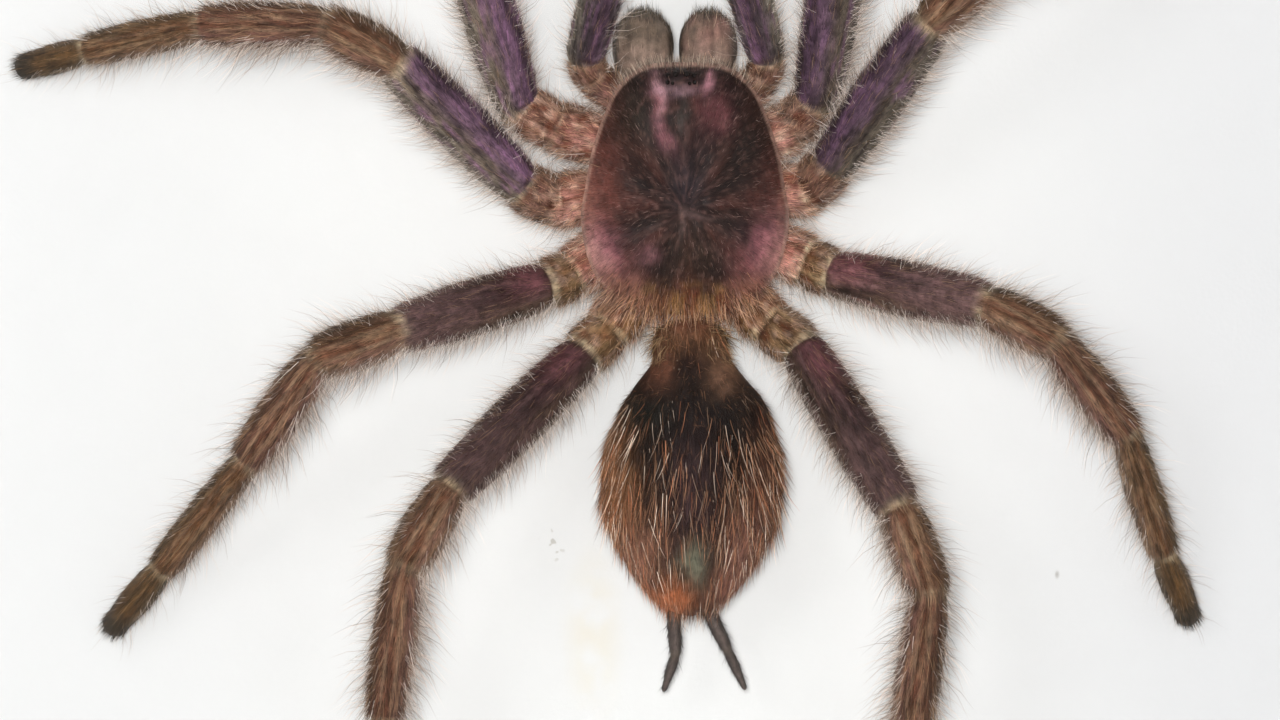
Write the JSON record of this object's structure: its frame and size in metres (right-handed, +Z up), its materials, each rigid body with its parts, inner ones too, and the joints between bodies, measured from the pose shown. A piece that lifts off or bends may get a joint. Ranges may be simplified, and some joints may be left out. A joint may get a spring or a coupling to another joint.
{
  "type": "framed tarantula specimen",
  "caption": "Dried tarantula laid belly down with its legs spread on a white board, sealed behind glass in a square black wooden shadow box that stands or hangs.",
  "frame": {"origin": "centre of the footprint at floor level, below the middle of the box", "axes": "+Z up towards the specimen's head, -Y out through the glass, +X to the viewer's right"},
  "size_m": [0.225, 0.048, 0.225],
  "materials": {
    "black_wood": "satin black stain over open grain",
    "glass": "clear polished float glass",
    "white_board": "matt white card face",
    "hardboard": "brown pressed fibre, smooth face out",
    "steel": "bright zinc plate",
    "soft_disc": "matt black foam rubber",
    "carapace_shell": "dark reddish shell under short felted hair",
    "jaw": "grey-tan short hair over dark shell",
    "palp_hair": "purple-sheened short hair",
    "leg_hair": "velvety brown hair, purple on the femora, with long fringes",
    "abdomen_hair": "black pile under long orange-brown hairs",
    "spinneret": "dark grey-brown, short hair"
  },
  "bodies": {
    "root": {"frame_rail_top": "black_wood", "frame_rail_right": "black_wood", "frame_rail_bottom": "black_wood", "frame_rail_left": "black_wood", "glass_pane": "glass", "spacer_top": "white_board", "spacer_bottom": "white_board", "spacer_right": "white_board", "spacer_left": "white_board", "mount_board": "white_board", "back_panel": "hardboard", "panel_point_1": "steel", "panel_point_2": "steel", "panel_point_3": "steel", "panel_point_4": "steel", "panel_point_5": "steel", "panel_point_6": "steel", "panel_point_7": "steel", "panel_point_8": "steel", "hanger": "steel", "hanger_nail_left": "steel", "hanger_nail_right": "steel", "bumper_left": "soft_disc", "bumper_right": "soft_disc", "carapace": "carapace_shell", "chelicera_left": "jaw", "chelicera_right": "jaw", "pedipalp_left": "palp_hair", "pedipalp_right": "palp_hair", "leg_1_left": "leg_hair", "leg_1_right": "leg_hair", "leg_2_left": "leg_hair", "leg_2_right": "leg_hair", "leg_3_left": "leg_hair", "leg_3_right": "leg_hair", "leg_4_left": "leg_hair", "leg_4_right": "leg_hair", "abdomen": "abdomen_hair", "spinneret_left": "spinneret", "spinneret_right": "spinneret"}
  },
  "joints": []
}
